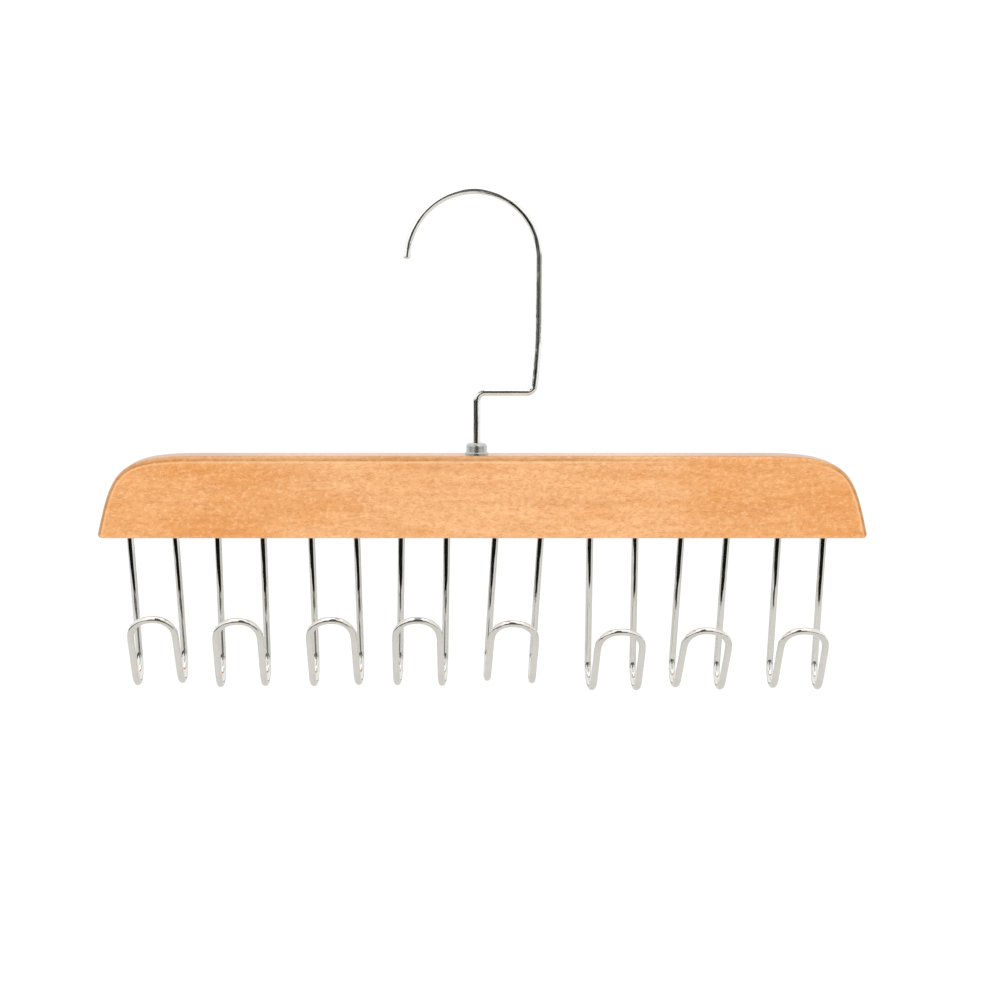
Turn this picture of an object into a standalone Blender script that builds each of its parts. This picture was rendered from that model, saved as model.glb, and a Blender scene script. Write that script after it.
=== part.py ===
"""Belt hanger: a wooden bar with eight wire belt hooks under it, hung from a swivelling wire hook.

Frame: metres, +Z up, +X along the bar. The belt hooks open towards -Y.
The origin is the rail seat: the top of the inside of the swivel hook's crown.
"""
import math

import bmesh
import bpy
from mathutils import Matrix, Vector
from mathutils.geometry import interpolate_bezier

# Fits
CLEARANCE = 0.0003
OVERRUN = 0.002
MERGE_DISTANCE = 0.000001

# Wire, the same stock for the swivel hook and the belt hooks
WIRE_DIAMETER = 0.0025
WIRE_END_CHAMFER = 0.0003

# Swivel hook, sizes on the wire's centreline
CROWN_RADIUS = 0.0234
CROWN_TIP_RADIUS = 0.0244
SIDE_BEND_DROP = 0.0557
SIDE_BEND_RADIUS = 0.2
SIDE_BEND_DEG = 6.6
CRANK_DROP = 0.0712
CRANK_BEND_RADIUS = 0.0026
STEM_BEND_RADIUS = 0.003
STEM_OFFSET = 0.001
STEM_HEAD_RADIUS = 0.0022
STEM_HEAD_HEIGHT = 0.0012
STEM_HEAD_CHAMFER = 0.0002

# Wooden bar
BAR_LENGTH = 0.2825
BAR_HEIGHT = 0.0304
BAR_THICKNESS = 0.012
BAR_BELOW_CRANK = 0.02275
BAR_OFFSET = 0.0021
BAR_EDGE_RADIUS = 0.00125
BAR_FOOT_RADIUS = 0.0015
BAR_FOOT_SLANT_DEG = 12.9
BAR_SHOULDER_REACH = 0.0377
BAR_SIDE_HANDLE = 0.0262
BAR_TOP_HANDLE = 0.0302

# Ferrule, pressed into the top of the bar round the stem
FERRULE_HEIGHT = 0.0041
FERRULE_RADIUS = 0.0037
FERRULE_ROUNDING = 0.0009
FLANGE_RADIUS = 0.0042
FLANGE_HEIGHT = 0.0008
SKIRT_RADIUS = 0.003
SKIRT_LENGTH = 0.008

# Washer between the ferrule's skirt and the stem's head
WASHER_RADIUS = 0.0029
WASHER_THICKNESS = 0.0008

# Belt hooks, sizes on the wire's centreline
HOOK_END_INSET = 0.02155
LEG_SPACING = 0.01675
LEG_SEATED = 0.014
HOOK_DROP = 0.0535
U_BEND_RADIUS = 0.0084
FRONT_LEG = 0.0138
SHOULDER_BEND_RADIUS = 0.006
ARCH_RISE = 0.0083
ARCH_SQUARENESS_SHARE = 0.88
FRONT_TAPER_SHARE = 0.044
DRILL_POINT = 0.0006

# Small differences between the eight hand-bent hooks, left to right
HOOK_PLACE_SHARES = (0.005, -0.047, -0.037, -0.064, -0.05, -0.028, -0.041, 0.004)
HOOK_DROP_SHARES = (-0.023, -0.007, -0.014, -0.014, -0.03, 0.029, 0.018, 0.019)
HOOK_BEND_SHARES = (0.08, 0.08, 0.08, 0.08, 0.0, -0.08, -0.08, -0.08)
HOOK_SWAY_SHARES = (0.101, 0.04, -0.039, -0.104, -0.024, 0.089, 0.021, -0.077)
HOOK_LEAN_DEG = (3.0, 1.2, 1.6, -0.8, -3.4, -0.2, -2.9, -2.0)
FRONT_LEAN_DEG = (21.5, 20.7, 20.7, 20.7, 26.5, 25.6, 26.1, 26.3)

# Facet counts
CROWN_STEPS = 11
BEND_STEP_DEG = 17.0
ARCH_STEPS = 6
ARCH_START_DEG = 14.0
TURNED_STEPS = 28
DRILL_STEPS = 12
SHOULDER_STEPS = 12
EDGE_STEPS = 4
HOOK_SIDES_LEVEL = 3
SWIVEL_SIDES_LEVEL = 4
SMOOTH_DEG = 35.0

# Worked out from the sizes above
WIRE_RADIUS = WIRE_DIAMETER / 2
BAR_TOP = -CRANK_DROP - BAR_BELOW_CRANK
SKIRT_END = CLEARANCE - SKIRT_LENGTH
WASHER_TOP = SKIRT_END - CLEARANCE
HEAD_TOP = WASHER_TOP - WASHER_THICKNESS - CLEARANCE
STEM_END = HEAD_TOP - STEM_HEAD_HEIGHT
PASSAGE_RADIUS = WIRE_RADIUS + CLEARANCE


def clear_scene():
    for old in list(bpy.data.objects):
        bpy.data.objects.remove(old, do_unlink=True)


def material(name, colour, roughness, metallic):
    made = bpy.data.materials.new(name)
    made.use_nodes = True
    shader = made.node_tree.nodes["Principled BSDF"]
    shader.inputs["Base Color"].default_value = (*colour, 1.0)
    shader.inputs["Roughness"].default_value = roughness
    shader.inputs["Metallic"].default_value = metallic
    return made


def place(name, data, surface=None, parent=None, location=(0, 0, 0), rotation=(0, 0, 0)):
    made = bpy.data.objects.new(name, data)
    bpy.context.scene.collection.objects.link(made)
    made.parent = parent
    made.location = location
    made.rotation_euler = rotation
    if surface:
        data.materials.append(surface)
    return made


def mesh_from(bm, name):
    bmesh.ops.recalc_face_normals(bm, faces=bm.faces)
    mesh = bpy.data.meshes.new(name)
    bm.to_mesh(mesh)
    bm.free()
    mesh.shade_smooth()
    mesh.set_sharp_from_angle(angle=math.radians(SMOOTH_DEG))
    return mesh


def rounded_path(corners):
    """Straight runs joined by arcs; corners are (point, bend radius), and radius zero keeps the point."""
    path = [corners[0][0]]
    for (before, _), (here, radius), (after, _) in zip(corners, corners[1:], corners[2:]):
        if not radius:
            path.append(here)
            continue
        back = (before - here).normalized()
        ahead = (after - here).normalized()
        turn = math.pi - back.angle(ahead)
        start = here + back * radius * math.tan(turn / 2)
        centre = here + (back + ahead).normalized() * radius / math.cos(turn / 2)
        steps = max(2, math.ceil(turn / math.radians(BEND_STEP_DEG)))
        axis = ahead.cross(back)
        for step in range(steps + 1):
            path.append(centre + Matrix.Rotation(turn * step / steps, 3, axis) @ (start - centre))
    path.append(corners[-1][0])
    return path


def chamfered_end(point, towards):
    """Two path points with radii that ease the cut end of a wire."""
    inner = point + (towards - point).normalized() * WIRE_END_CHAMFER
    return [(point, WIRE_RADIUS - WIRE_END_CHAMFER), (inner, WIRE_RADIUS)]


def wire(name, path_with_radii, sides_level):
    """A round wire along a path of (point, radius)."""
    curve = bpy.data.curves.new(name, "CURVE")
    curve.dimensions = "3D"
    curve.bevel_depth = WIRE_RADIUS
    curve.bevel_resolution = sides_level
    curve.use_fill_caps = True
    spline = curve.splines.new("POLY")
    spline.points.add(len(path_with_radii) - 1)
    for knot, (point, radius) in zip(spline.points, path_with_radii):
        knot.co = (*point, 1.0)
        knot.radius = radius / WIRE_RADIUS
    spline.use_smooth = True
    return curve


def add_turned(bm, profile, steps, closed=False, offset=(0, 0, 0)):
    """Spins a profile of (radius, height) about Z; closed joins its last point to its first."""
    verts = [bm.verts.new((radius, 0, height)) for radius, height in profile]
    edges = [bm.edges.new(pair) for pair in zip(verts, verts[1:])]
    if closed:
        edges.append(bm.edges.new((verts[-1], verts[0])))
    known = set(bm.verts) - set(verts)
    bmesh.ops.spin(bm, geom=verts + edges, axis=(0, 0, 1), cent=(0, 0, 0),
                   angle=math.tau, steps=steps, use_merge=True)
    turned = [vert for vert in bm.verts if vert not in known]
    bmesh.ops.remove_doubles(bm, verts=turned, dist=MERGE_DISTANCE)
    turned = [vert for vert in bm.verts if vert not in known]
    bmesh.ops.translate(bm, verts=turned, vec=Vector(offset))


def quarter(centre_radius, centre_height, radius, start_deg, steps=3):
    """Points of a quarter round in a turned profile, clockwise from start_deg."""
    angles = [math.radians(start_deg - 90 * step / steps) for step in range(steps + 1)]
    return [(centre_radius + radius * math.cos(a), centre_height + radius * math.sin(a)) for a in angles]


def cut(target, cutter):
    cutter.hide_render = True
    cutter.display_type = "WIRE"
    boolean = target.modifiers.new(cutter.name, "BOOLEAN")
    boolean.operation = "DIFFERENCE"
    boolean.solver = "EXACT"
    boolean.object = cutter


def swivel_path():
    """The swivel hook's centreline, from its tip over the crown, side run and crank to the stem's head."""
    path = []
    for radius, start, end in ((CROWN_TIP_RADIUS, 180, 90), (CROWN_RADIUS, 90, 0)):
        centre = Vector((0, 0, WIRE_RADIUS - radius))
        for step in range(CROWN_STEPS + 1):
            angle = math.radians(start + (end - start) * step / CROWN_STEPS)
            path.append(centre + radius * Vector((math.cos(angle), 0, math.sin(angle))))
    path.pop(CROWN_STEPS)
    side_bend = Vector((CROWN_RADIUS, 0, -SIDE_BEND_DROP))
    slope = math.tan(math.radians(SIDE_BEND_DEG))
    crank_outer = Vector((CROWN_RADIUS - (CRANK_DROP - SIDE_BEND_DROP) * slope, 0, -CRANK_DROP))
    crank_inner = Vector((STEM_OFFSET, 0, -CRANK_DROP))
    stem_end = Vector((STEM_OFFSET, 0, BAR_TOP + HEAD_TOP))
    corners = [(path[-1], 0), (side_bend, SIDE_BEND_RADIUS), (crank_outer, CRANK_BEND_RADIUS),
               (crank_inner, STEM_BEND_RADIUS), (stem_end, 0)]
    path += rounded_path(corners)[1:]
    tip = path[0]
    return chamfered_end(tip, tip + Vector((0, 0, 1))) + [(point, WIRE_RADIUS) for point in path[1:]]


def make_swivel_hook(surface):
    path = swivel_path()
    head_outline = ((STEM_HEAD_CHAMFER, STEM_HEAD_RADIUS),
                    (STEM_HEAD_HEIGHT - STEM_HEAD_CHAMFER, STEM_HEAD_RADIUS),
                    (STEM_HEAD_HEIGHT, STEM_HEAD_RADIUS - STEM_HEAD_CHAMFER))
    for below, radius in head_outline:
        path.append((Vector((STEM_OFFSET, 0, BAR_TOP + HEAD_TOP - below)), radius))
    return place("swivel_hook", wire("swivel_hook", path, SWIVEL_SIDES_LEVEL), surface)


def bar_end():
    """One end of the bar's outline, from the shoulder to the foot, with x measured inwards from the end."""
    slant = math.radians(BAR_FOOT_SLANT_DEG)
    shoulder = Vector((BAR_SHOULDER_REACH, 0, BAR_HEIGHT))
    shoulder_handle = shoulder - Vector((BAR_TOP_HANDLE, 0, 0))
    side_handle = BAR_SIDE_HANDLE * Vector((math.sin(slant), 0, math.cos(slant)))
    foot = Vector((0, 0, 0))
    side = interpolate_bezier(shoulder, shoulder_handle, side_handle, foot, SHOULDER_STEPS)
    inner = Vector((BAR_SHOULDER_REACH, 0, 0))
    corners = [(point, 0) for point in side[:-1]] + [(foot, BAR_FOOT_RADIUS), (inner, 0)]
    return rounded_path(corners)[:-1]


def make_bar(surface, axis):
    end = bar_end()
    right = [Vector((BAR_LENGTH / 2 - point.x, 0, point.z)) for point in end]
    left = [Vector((-point.x, 0, point.z)) for point in reversed(right)]
    bm = bmesh.new()
    depth = Vector((0, BAR_THICKNESS / 2, 0))
    face = bm.faces.new([bm.verts.new(point - depth) for point in right + left])
    swept = bmesh.ops.extrude_face_region(bm, geom=[face], use_keep_orig=True)
    far = [item for item in swept["geom"] if isinstance(item, bmesh.types.BMVert)]
    bmesh.ops.translate(bm, verts=far, vec=depth * 2)
    rims = [edge for edge in bm.edges if abs(edge.verts[0].co.y - edge.verts[1].co.y) < MERGE_DISTANCE]
    bmesh.ops.bevel(bm, geom=rims, offset=BAR_EDGE_RADIUS, offset_type="OFFSET",
                    segments=EDGE_STEPS, profile=0.5, affect="EDGES", clamp_overlap=True)
    location = (BAR_OFFSET, 0, -BAR_HEIGHT)
    return place("bar", mesh_from(bm, "bar"), surface, axis, location)


def bore_bar(bar):
    """The bore for the ferrule's skirt, the washer and the stem's head."""
    bm = bmesh.new()
    bottom = STEM_END - CLEARANCE
    radius = SKIRT_RADIUS + CLEARANCE
    profile = [(0, OVERRUN), (radius, OVERRUN), (radius, bottom), (0, bottom)]
    add_turned(bm, profile, TURNED_STEPS)
    bore = place("bar_bore", mesh_from(bm, "bar_bore"), None, bar, (-BAR_OFFSET, 0, BAR_HEIGHT))
    cut(bar, bore)


def make_ferrule(surface, axis):
    """A turned collar: rounded barrel, thin flange on the bar, and a skirt inside it."""
    top = FERRULE_HEIGHT
    flange_top = CLEARANCE + FLANGE_HEIGHT
    profile = [(PASSAGE_RADIUS, top)]
    profile += quarter(FERRULE_RADIUS - FERRULE_ROUNDING, top - FERRULE_ROUNDING, FERRULE_ROUNDING, 90)
    profile += [(FERRULE_RADIUS, flange_top), (FLANGE_RADIUS, flange_top), (FLANGE_RADIUS, CLEARANCE),
                (SKIRT_RADIUS, CLEARANCE), (SKIRT_RADIUS, SKIRT_END), (PASSAGE_RADIUS, SKIRT_END)]
    bm = bmesh.new()
    add_turned(bm, profile, TURNED_STEPS, closed=True)
    return place("ferrule", mesh_from(bm, "ferrule"), surface, axis)


def make_washer(surface, axis):
    bottom = WASHER_TOP - WASHER_THICKNESS
    profile = [(PASSAGE_RADIUS, WASHER_TOP), (WASHER_RADIUS, WASHER_TOP),
               (WASHER_RADIUS, bottom), (PASSAGE_RADIUS, bottom)]
    bm = bmesh.new()
    add_turned(bm, profile, TURNED_STEPS, closed=True)
    return place("washer", mesh_from(bm, "washer"), surface, axis)


def belt_hook_path(drop, bend_radius, lean_deg, sway):
    """One belt hook's centreline: down from the bar, round the bend, up the front leg and over the arch."""
    lean = math.radians(lean_deg)
    upwards = Vector((0, -math.sin(lean), math.cos(lean)))
    half = LEG_SPACING / 2
    bend_run = bend_radius / math.tan(lean / 2)
    bend = Vector((-half, 0, bend_radius - drop - bend_run))
    shoulder = bend + (bend_run + FRONT_LEG) * upwards
    corners = [(Vector((-half, 0, LEG_SEATED - WIRE_END_CHAMFER)), 0), (bend, bend_radius),
               (shoulder, SHOULDER_BEND_RADIUS)]
    arch = []
    for step in range(ARCH_STEPS + 1):
        angle = math.radians(ARCH_START_DEG + (90 - ARCH_START_DEG) * step / ARCH_STEPS)
        across = half * math.cos(angle) ** ARCH_SQUARENESS_SHARE
        rise = ARCH_RISE * math.sin(angle) ** ARCH_SQUARENESS_SHARE
        arch.append(Vector((-across, shoulder.y, shoulder.z)) + rise * upwards)
    left = rounded_path(corners + [(arch[0], 0)])[:-1] + arch
    right = [Vector((-point.x, point.y, point.z)) for point in reversed(left[:-1])]
    path = left + right
    for point in path:
        point.x += (sway - FRONT_TAPER_SHARE * point.x) * point.y / arch[-1].y
    top_left = Vector((-half, 0, LEG_SEATED))
    top_right = Vector((half, 0, LEG_SEATED))
    start = chamfered_end(top_left, path[0])
    end = chamfered_end(top_right, path[-1])
    return start + [(point, WIRE_RADIUS) for point in path[1:-1]] + end[::-1]


def drill_pair():
    """Two blind drills with pointed ends, a running clearance wider than the legs."""
    bm = bmesh.new()
    depth = LEG_SEATED + CLEARANCE
    profile = [(0, depth + DRILL_POINT), (PASSAGE_RADIUS, depth), (PASSAGE_RADIUS, -OVERRUN), (0, -OVERRUN)]
    for side in (-1, 1):
        add_turned(bm, profile, DRILL_STEPS, offset=(side * LEG_SPACING / 2, 0, 0))
    return mesh_from(bm, "drill_pair")


def make_belt_hooks(surface, bar):
    drills = drill_pair()
    count = len(HOOK_PLACE_SHARES)
    pitch = (BAR_LENGTH - 2 * HOOK_END_INSET) / (count - 1)
    for index in range(count):
        place_x = (index - (count - 1) / 2 + HOOK_PLACE_SHARES[index]) * pitch - BAR_OFFSET
        location = (place_x, 0, 0)
        rotation = (0, -math.radians(HOOK_LEAN_DEG[index]), 0)
        drop = HOOK_DROP * (1 + HOOK_DROP_SHARES[index])
        bend_radius = U_BEND_RADIUS * (1 + HOOK_BEND_SHARES[index])
        sway = LEG_SPACING * HOOK_SWAY_SHARES[index]
        path = belt_hook_path(drop, bend_radius, FRONT_LEAN_DEG[index], sway)
        name = f"belt_hook_{index + 1}"
        place(name, wire(name, path, HOOK_SIDES_LEVEL), surface, bar, location, rotation)
        drill = place(f"leg_holes_{index + 1}", drills, None, bar, location, rotation)
        cut(bar, drill)


def main():
    clear_scene()
    wood = material("varnished_beech", (0.8, 0.44, 0.19), 0.45, 0.0)
    hook_chrome = material("chromed_wire", (0.78, 0.78, 0.8), 0.12, 1.0)
    belt_chrome = material("chromed_hook_wire", (0.76, 0.76, 0.78), 0.14, 1.0)
    ferrule_chrome = material("chromed_ferrule", (0.7, 0.7, 0.72), 0.18, 1.0)
    zinc = material("zinc_plated_steel", (0.55, 0.56, 0.58), 0.35, 1.0)
    make_swivel_hook(hook_chrome)
    axis = place("swivel_axis", None, location=(STEM_OFFSET, 0, BAR_TOP))
    bar = make_bar(wood, axis)
    bore_bar(bar)
    make_ferrule(ferrule_chrome, axis)
    make_washer(zinc, axis)
    make_belt_hooks(belt_chrome, bar)


main()
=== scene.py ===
"""Belt hanger: fine meshes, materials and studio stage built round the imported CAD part.

Frame: metres, +Z up, +X along the bar. The belt hooks open towards -Y, where the camera stands.
The origin is the rail seat, the top of the inside of the swivel hook's crown.
"""
import math

import bmesh
import bpy
from bpy.props import CollectionProperty, FloatProperty, PointerProperty, StringProperty
from mathutils import Matrix, Vector
from mathutils.geometry import interpolate_bezier


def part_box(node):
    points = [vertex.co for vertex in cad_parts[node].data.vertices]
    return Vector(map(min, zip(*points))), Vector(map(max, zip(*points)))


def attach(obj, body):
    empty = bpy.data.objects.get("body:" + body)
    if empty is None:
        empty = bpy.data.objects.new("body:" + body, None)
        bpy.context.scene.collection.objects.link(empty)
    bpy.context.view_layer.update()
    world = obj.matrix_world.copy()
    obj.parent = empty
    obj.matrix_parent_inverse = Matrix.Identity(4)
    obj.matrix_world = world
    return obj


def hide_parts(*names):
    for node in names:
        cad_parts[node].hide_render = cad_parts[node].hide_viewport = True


bl_info = {
    "name": "Belt hanger",
    "version": (1, 0, 0),
    "blender": (4, 5, 0),
    "location": "3D view > Sidebar > Hanger",
    "description": "Builds a wooden belt hanger with eight wire belt hooks and a swivelling wire hook",
    "category": "Add Mesh",
}

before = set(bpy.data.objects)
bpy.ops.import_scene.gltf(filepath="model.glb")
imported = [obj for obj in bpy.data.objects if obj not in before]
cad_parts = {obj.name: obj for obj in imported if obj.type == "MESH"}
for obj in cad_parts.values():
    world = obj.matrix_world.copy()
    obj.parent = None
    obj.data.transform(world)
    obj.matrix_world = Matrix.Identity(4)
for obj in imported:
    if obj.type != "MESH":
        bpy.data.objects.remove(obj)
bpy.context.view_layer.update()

MM = 0.001
FIT_TOLERANCE = 0.35 * MM
MERGE_DISTANCE = 0.001 * MM

# How finely round forms are drawn
WIRE_SIDES = 24
BEND_STEP_DEG = 5.0
SIDE_STEP_DEG = 2.0
FOOT_STEP_DEG = 12.0
CROWN_STEPS = 40
STRAIGHT_TIP_STEPS = 6
DOME_STEPS = 5
DOME_DEPTH_SHARE = 0.6
ARCH_STEPS = 14
ARCH_START_DEG = 14.0
TURNED_STEPS = 64
HOLE_STEPS = 24
SHOULDER_STEPS = 40
EDGE_STEPS = 6
ROUND_STEPS = 4
SMOOTH_DEG = 40.0
WIRE_SMOOTH_DEG = 60.0
FLAT_FACE_WEIGHT = 100
LONG_RUN = 4.0 * MM
SUPPORT = 0.1 * MM
# A bend with a radius of this many wire radii has a bend share of 1
TIGHT_BEND_RADII = 4

# How far inside the arris the loops lie that carry the painted highlight, and how it sinks away at the feet
HIGHLIGHT_LOOPS = (1.6 * MM, 1.15 * MM, 0.85 * MM, 0.55 * MM, 0.3 * MM)
HIGHLIGHT_RISE = 1.5 * MM
HIGHLIGHT_AT_FOOT = 0.05

# Small cuts and eased corners
HEAD_EASE = 0.2 * MM
FERRULE_EASE = 0.25 * MM
LEG_HOLE_CHAMFER = 0.3 * MM
CUT_OVERRUN = 2 * MM


def hex_to_linear(code):
    """An sRGB hex colour such as #F2B47B as linear red, green, blue and an alpha of one."""
    shares = [int(code[place:place + 2], 16) / 255 for place in (1, 3, 5)]
    linear = [part / 12.92 if part <= 0.04045 else ((part + 0.055) / 1.055) ** 2.4 for part in shares]
    return (*linear, 1.0)


# Sizes and colours that a user would change

def length(name, description, mm):
    return FloatProperty(name=name, description=description, default=mm * MM, unit="LENGTH", precision=5)


def angle(name, description, degrees=0.0):
    return FloatProperty(name=name, description=description, default=math.radians(degrees), subtype="ANGLE")


def factor(name, description, default=0.0, **limits):
    return FloatProperty(name=name, description=description, default=default, subtype="FACTOR", **limits)


def power(name, description, default):
    return FloatProperty(name=name, description=description, default=default, unit="POWER", min=0.0)


def colour(name, description, code):
    return StringProperty(name=name, description=description, default=code, maxlen=7)


class WireSizes(bpy.types.PropertyGroup):
    """The wire stock shared by the swivel hook and the belt hooks."""
    diameter: length("Wire diameter", "Thickness of the steel wire with its plating", 2.5)
    hole_gap: length("Hole gap", "Gap between a leg and the wall of its hole in the wood", 0.05)


class SwivelHookSizes(bpy.types.PropertyGroup):
    """The swivel hook, on the wire's centreline."""
    crown_radius: length("Crown radius", "Radius of the crown on the side run's side", 23.4)
    tip_radius: length("Tip radius", "Radius of the crown on the tip's side", 24.4)
    side_bend_drop: length("Side bend drop", "Depth of the slight bend in the side run", 55.7)
    side_bend_radius: length("Side bend radius", "Radius of the slight bend in the side run", 200.0)
    side_bend: angle("Side bend", "How far the side run leans back towards the middle", 6.6)
    crank_drop: length("Crank drop", "Depth of the crank below the rail seat", 71.2)
    crank_radius: length("Crank radius", "Radius of the crank's outer bend", 2.6)
    stem_radius: length("Stem bend radius", "Radius of the bend from the crank into the stem", 3.0)
    stem_offset: length("Stem offset", "Distance of the stem from the crown's middle", 1.0)
    head_radius: length("Head radius", "Radius of the upset head that keeps the stem in the bar", 2.2)
    head_height: length("Head height", "Height of the stem's upset head", 1.2)
    head_depth: length("Head depth", "Depth of the head's top below the bar's top face", 9.1)


class BarSizes(bpy.types.PropertyGroup):
    """The wooden bar."""
    length: length("Length", "Length of the bar before its feet are rounded", 282.5)
    height: length("Height", "Height of the bar", 30.4)
    thickness: length("Thickness", "Thickness of the board", 12.0)
    below_crank: length("Below crank", "Depth of the bar's top below the crank", 22.75)
    offset: length("Offset", "Distance of the bar's middle from the stem", 2.1)
    edge_radius: length("Edge radius", "Radius of the sanded edges", 1.25)
    foot_radius: length("Foot radius", "Radius of the lower corners", 1.5)
    foot_slant: angle("Foot slant", "Lean of the end where it meets the underside", 12.9)
    shoulder_reach: length("Shoulder reach", "Length of the curved shoulder along the bar", 37.7)
    side_handle: length("Side handle", "Pull of the shoulder's curve at the foot", 26.2)
    top_handle: length("Top handle", "Pull of the shoulder's curve at the top", 30.2)
    bore_radius: length("Bore radius", "Radius of the bore for the ferrule's skirt", 3.1)
    bore_depth: length("Bore depth", "Depth of the bore", 10.6)


class FerruleSizes(bpy.types.PropertyGroup):
    """The turned collar round the stem."""
    height: length("Height", "Height of the barrel above the bar", 4.1)
    radius: length("Barrel radius", "Radius of the barrel", 3.7)
    rounding: length("Rounding", "Radius of the barrel's upper edge", 0.9)
    flange_radius: length("Flange radius", "Radius of the flange", 4.2)
    flange_height: length("Flange height", "Thickness of the flange", 0.8)
    skirt_radius: length("Skirt radius", "Radius of the skirt in the bore", 3.0)
    skirt_length: length("Skirt length", "Length of the skirt", 7.7)
    seat_gap: length("Seat gap", "Gap between the flange and the wood", 0.02)
    hole_gap: length("Hole gap", "Gap between the stem and the ferrule's hole", 0.1)


class BentHook(bpy.types.PropertyGroup):
    """What differs from one hand-bent belt hook to the next."""
    place_share: factor("Place", "Shift along the bar, as a share of the pitch")
    drop_share: factor("Drop", "Extra drop, as a share of the drop")
    bend_share: factor("Bend", "Extra bend radius, as a share of the bend radius")
    sway_share: factor("Sway", "Sideways sway of the front, as a share of the leg spacing")
    lean: angle("Lean", "Sideways lean of the legs")
    tilt: angle("Tilt", "Forward tilt of the hook in its holes")
    front_lean: angle("Front lean", "Forward lean of the front legs")


class BeltHookSizes(bpy.types.PropertyGroup):
    """The eight belt hooks, on the wire's centreline."""
    end_inset: length("End inset", "Distance of the first and last hook from the bar's ends", 21.55)
    leg_spacing: length("Leg spacing", "Distance between the two legs", 16.75)
    seated: length("Seated length", "Length of the legs inside the wood", 14.0)
    drop: length("Drop", "Depth of the lower bend below the bar's underside", 53.5)
    bend_radius: length("Bend radius", "Radius of the lower bend", 8.4)
    front_leg: length("Front leg", "Length of the front leg", 13.8)
    shoulder_radius: length("Shoulder radius", "Radius of the bend from front leg into arch", 6.0)
    arch_rise: length("Arch rise", "Height of the arch over the front legs", 8.3)
    arch_squareness: factor("Arch squareness", "One is an ellipse, less is squarer", 0.88, min=0.3, max=1.5)
    front_taper: factor("Front taper", "How much narrower the arch is than the legs", 0.044, min=0.0, max=0.5)
    bent: CollectionProperty(type=BentHook)


class WoodColours(bpy.types.PropertyGroup):
    """Steamed beech under a honey-tinted clear lacquer."""
    light: colour("Light", "Paler wood in the board's middle", "#FABB7E")
    body: colour("Body", "Deeper wood towards the board's ends", "#F0A358")
    dark: colour("Dark", "Darker growth streaks and specks", "#DC8F48")
    fleck: colour("Fleck", "Brown fibres and curls", "#CB8444")
    # The pale speck colour also paints the highlight just inside the arris
    speck_and_highlight: colour("Speck", "Pale curls and specks, and the lacquer's bead", "#FFCF9A")
    # Edge and end grain are grey tints of the painted shade on the sanded edges
    edge: colour("Edge", "Tint that darkens the sanded edges along the grain", "#CDCAC2")
    end_grain: colour("End grain", "Tint that darkens the sanded edges of the end grain", "#ABB5BB")


class MetalColours(bpy.types.PropertyGroup):
    """Plated steel."""
    hook_chrome: colour("Hook chrome", "Bright chrome plate of the swivel hook", "#F8F8F6")
    chrome: colour("Chrome", "Bright chrome plate of the belt hooks", "#ECECE9")
    chrome_worn: colour("Worn chrome", "Plate dulled at the bends", "#D9D8D3")
    ferrule: colour("Ferrule", "Turned and plated ferrule", "#CACDC9")
    zinc: colour("Zinc", "Zinc plate on the washer", "#A9ACB2")
    rings: colour("Rings", "Darker tool rings in turned and plated steel", "#8E908D")
    haze: colour("Haze", "Paler haze on turned and plated steel", "#D9DBD8")


class StageSettings(bpy.types.PropertyGroup):
    """Floor, light and camera."""
    floor_drop: length("Floor drop", "Depth of the floor below the rail seat", 280)
    sky: factor("Sky", "Strength of the even white surround", 1.04, min=0.0)
    overhead: power("Overhead", "Power of the soft light overhead", 1.5)
    front: power("Front", "Power of the soft light beside the camera", 0.6)
    paper: colour("Paper", "Floor colour", "#FEFEFE")
    black_card: colour("Black card", "Card for the darkest reflections in the wires", "#141414")
    dark_card: colour("Dark card", "Card for dark reflections in the wires", "#585855")
    grey_card: colour("Grey card", "Card that tones the wires' edges", "#8E8E86")
    pale_card: colour("Pale card", "Card under the hanger that keeps the chrome from burning out", "#DDDBD7")


class BeltHanger(bpy.types.PropertyGroup):
    """All settings of the belt hanger."""
    wire: PointerProperty(type=WireSizes)
    swivel: PointerProperty(type=SwivelHookSizes)
    bar: PointerProperty(type=BarSizes)
    ferrule: PointerProperty(type=FerruleSizes)
    hooks: PointerProperty(type=BeltHookSizes)
    wood: PointerProperty(type=WoodColours)
    metal: PointerProperty(type=MetalColours)
    stage: PointerProperty(type=StageSettings)


# Left to right; angles are in degrees
BENT_NAMES = ("place_share", "drop_share", "bend_share", "sway_share", "lean", "front_lean", "tilt")
BENT_HOOKS = (
    (0.005, -0.023, 0.08, 0.101, 3.0, 21.5, 0.35),
    (-0.047, -0.007, 0.08, 0.040, 1.2, 20.7, 0.35),
    (-0.037, -0.014, 0.08, -0.039, 1.6, 20.7, 0.35),
    (-0.064, -0.014, 0.08, -0.104, -0.8, 20.7, 0.35),
    (-0.050, -0.030, 0.0, -0.024, -3.4, 26.5, -0.38),
    (-0.028, 0.029, -0.08, 0.089, -0.2, 25.6, -0.3),
    (-0.041, 0.018, -0.08, 0.021, -2.9, 26.1, -0.3),
    (0.004, 0.019, -0.08, -0.077, -2.0, 26.3, -0.3),
)


def fill_bent_hooks(hooks):
    hooks.bent.clear()
    for row in BENT_HOOKS:
        bent = hooks.bent.add()
        for name, value in zip(BENT_NAMES, row):
            setattr(bent, name, value if name.endswith("share") else math.radians(value))


# Where things are, worked out from the sizes

def bar_top(settings):
    return -settings.swivel.crank_drop - settings.bar.below_crank


def bore_mouth(settings):
    return Matrix.Translation((settings.swivel.stem_offset, 0, bar_top(settings)))


def underside(settings):
    return bar_top(settings) - settings.bar.height


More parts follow.
